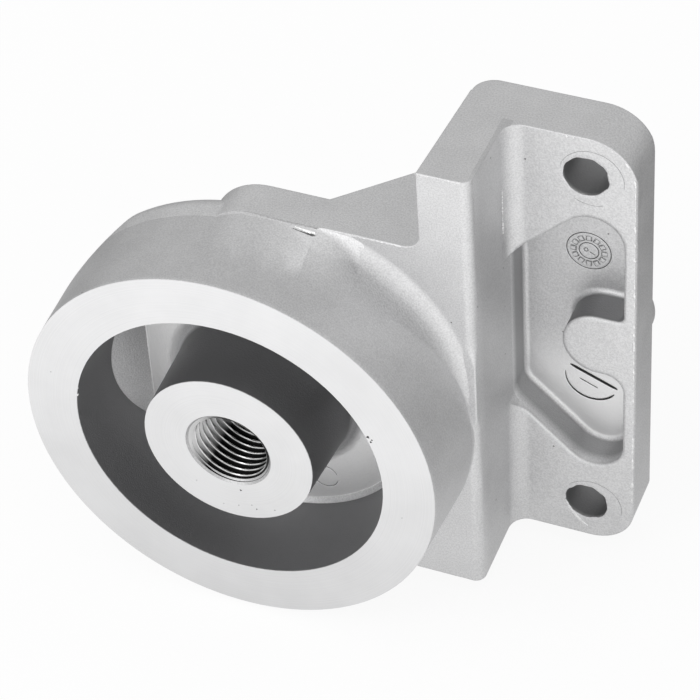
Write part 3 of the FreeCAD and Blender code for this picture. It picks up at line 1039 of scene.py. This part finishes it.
rimBurrs = {
    "faceY": 0.22,
    "seed": 40,
    "places": ((-28.95, 9.63, 0.35), (-29.76, 4.58, 0.28), (-29.5, 6.4, 0.22)),  # x, z, radius
}
# burrs in white metal, a painted highlight
for number, (x, z, size) in enumerate(rimBurrs["places"]):
    burr = pebble((x, rimBurrs["faceY"], z), size, rimBurrs["seed"] + number)
    addPiece(f"rimBurr{number + 1}", burr, flashHighlightMetal)

# Marks that stand a hair proud of the skin: way out of the surface, height, (x, y, z, half width) along them
skinLines = [
    {"name": "slopeLap", "kind": "dark", "out": (0.0, -0.42, 0.91), "height": 0.04,
     "points": ((8.67, 16.51, 42.08, 0.05), (9.87, 16.34, 41.97, 0.09), (11.24, 16.22, 41.88, 0.17),
                (12.39, 16.16, 41.82, 0.22), (13.0, 16.2, 41.82, 0.1))},
    {"name": "slopeFlake", "kind": "light", "out": (0.0, -0.42, 0.91), "height": 0.08,
     "points": ((8.9, 16.95, 42.2, 0.12), (10.4, 16.8, 42.16, 0.2), (12.0, 16.72, 42.1, 0.28),
                (12.85, 16.7, 42.08, 0.3))},
    {"name": "slopeCrest", "kind": "dark", "out": (0.0, -0.42, 0.91), "height": 0.03,
     "points": ((3.4, 17.5, 42.4, 0.03), (7.0, 17.45, 42.38, 0.06), (10.0, 17.45, 42.38, 0.05),
                (12.9, 17.4, 42.36, 0.06))},
    {"name": "slopeDot", "kind": "dark", "out": (0.0, -0.42, 0.91), "height": 0.04,
     "points": ((3.1, 17.42, 42.37, 0.08), (3.37, 17.4, 42.36, 0.2), (3.7, 17.38, 42.36, 0.06))},
    {"name": "lowHoleLip", "kind": "light", "out": (0.0, -1.0, 0.0), "height": 0.1,
     "points": ((51.96, 35.3, -29.24, 0.1), (52.75, 35.3, -31.14, 0.26), (53.94, 35.3, -32.91, 0.3),
                (55.14, 35.3, -34.14, 0.24), (56.34, 35.3, -34.82, 0.08))},
]


def skinLine(line):
    # tube with an oval section: path + side cos(a) width + out sin(a) height, side = step x out
    points = np.array(line["points"])
    t = np.linspace(0, len(points) - 1, 12 * len(points))
    path = np.stack([np.interp(t, np.arange(len(points)), points[:, k]) for k in range(4)], -1)
    ragged = path[:, 3] * (1 + 0.3 * wander(len(t), len(line["name"]), 9))
    out = np.array(line["out"]) / np.linalg.norm(line["out"])
    side = np.cross(np.gradient(path[:, :3], axis=0), out)
    side = side / np.linalg.norm(side, axis=1, keepdims=True)
    a = np.linspace(0, 2 * np.pi, 8, endpoint=False)
    rings = path[:, None, :3] + side[:, None, :] * (np.cos(a)[None, :, None] * ragged[:, None, None])
    return ringMesh("skinLine", rings + out * (np.sin(a)[None, :, None] * line["height"]))


# dark lines are painted shade of seams and steps, light ones a painted highlight on a lip and a flake
for line in skinLines:
    addPiece(line["name"], skinLine(line), grooveShadeMetal if line["kind"] == "dark" else flashHighlightMetal)
print("small marks made")

# Stage, light and camera

stage = {
    "halfSize": 1.6,
    "gap": 0.0002,  # under the part
    "glow": (1.14, 0.19),  # what the metal sees of the table in front of the part and behind it
    "glowDepths": (-0.07, 0.13),
    "sky": (1.0, 0.56),  # and of the sky
    "skyDepths": (-0.6, 0.6),
    "shadow": 0.12,
}
lampAim = (0.01, 0.02, 0.0)
lamps = [
    {"name": "keyLamp", "place": (-0.55, -0.75, 0.75), "size": 0.6, "watts": 3.0},
    {"name": "sideLamp", "place": (0.8, -0.35, 0.5), "size": 0.5, "watts": 0.2},
]


def stageFloor(height):
    half = stage["halfSize"]
    mesh = bpy.data.meshes.new("floor")
    corners = [(x * half, y * half, height) for x, y in ((-1, -1), (1, -1), (1, 1), (-1, 1))]
    mesh.from_pydata(corners, [], [(0, 1, 2, 3)])
    floor = addObject("floor", mesh)
    material, nodes, links = newMaterial("paleFloor")
    mesh.materials.append(material)
    nodes.remove(nodes["Principled BSDF"])
    output = nodes["Material Output"]
    rays = nodes.new("ShaderNodeLightPath")
    seen = nodes.new("ShaderNodeMixShader")  # for the camera: white, with a trace of the shadow
    seen.inputs["Fac"].default_value = stage["shadow"]
    white = nodes.new("ShaderNodeEmission")
    matt = nodes.new("ShaderNodeBsdfDiffuse")
    matt.inputs["Color"].default_value = (1, 1, 1, 1)
    links.new(white.outputs["Emission"], seen.inputs[1])
    links.new(matt.outputs["BSDF"], seen.inputs[2])
    split = splitNode(nodes, links, nodes.new("ShaderNodeTexCoord").outputs["Object"])
    lit = nodes.new("ShaderNodeEmission")
    level = levelNode(nodes, links, split["Y"], stage["glowDepths"], stage["glow"])
    links.new(level, lit.inputs["Strength"])
    both = nodes.new("ShaderNodeMixShader")
    links.new(rays.outputs["Is Camera Ray"], both.inputs["Fac"])
    links.new(lit.outputs["Emission"], both.inputs[1])
    links.new(seen.outputs["Shader"], both.inputs[2])
    links.new(both.outputs["Shader"], output.inputs["Surface"])


def stageSky():
    # white for the camera; for light and gloss, bright in front and duller behind
    world = bpy.data.worlds.new("studio")
    bpy.context.scene.world = world
    world.use_nodes = True
    nodes, links = world.node_tree.nodes, world.node_tree.links
    split = splitNode(nodes, links, nodes.new("ShaderNodeTexCoord").outputs["Generated"])
    rays = nodes.new("ShaderNodeLightPath")
    pick = nodes.new("ShaderNodeMix")
    links.new(rays.outputs["Is Camera Ray"], pick.inputs["Factor"])
    level = levelNode(nodes, links, split["Y"], stage["skyDepths"], stage["sky"])
    links.new(level, pick.inputs["A"])
    pick.inputs["B"].default_value = 1.0
    links.new(pick.outputs["Result"], nodes["Background"].inputs["Strength"])
    nodes["Background"].inputs["Color"].default_value = (1, 1, 1, 1)


def addLamp(name, place, size, watts):
    light = bpy.data.lights.new(name, "AREA")
    light.size, light.energy = size, watts
    lamp = addObject(name, light)
    lamp.location = place
    lamp.rotation_mode = "QUATERNION"
    lamp.rotation_quaternion = (Vector(lampAim) - Vector(place)).to_track_quat("-Z", "Y")


view = {  # solved from the photograph
    "place": (0.1964, -0.3695, 0.4136),
    "right": (0.9255, 0.3752, -0.0510),
    "up": (-0.2225, 0.6479, 0.7285),
    "lens": 167.4,
    "sensor": 36.0,
    "clip": (0.01, 10.0),
}


def addCamera():
    data = bpy.data.cameras.new("camera")
    data.lens, data.sensor_width = view["lens"], view["sensor"]
    data.clip_start, data.clip_end = view["clip"]
    camera = addObject("camera", data)
    right, up = Vector(view["right"]).normalized(), Vector(view["up"]).normalized()
    turn = Matrix((right, up, right.cross(up))).transposed()
    camera.matrix_world = Matrix.Translation(view["place"]) @ turn.to_4x4()
    bpy.context.scene.camera = camera


stageFloor(cadBox[0][2] - stage["gap"])
stageSky()
for lamp in lamps:
    addLamp(**lamp)
addCamera()
bpy.context.scene.view_settings.view_transform = "Standard"
print("stage set")
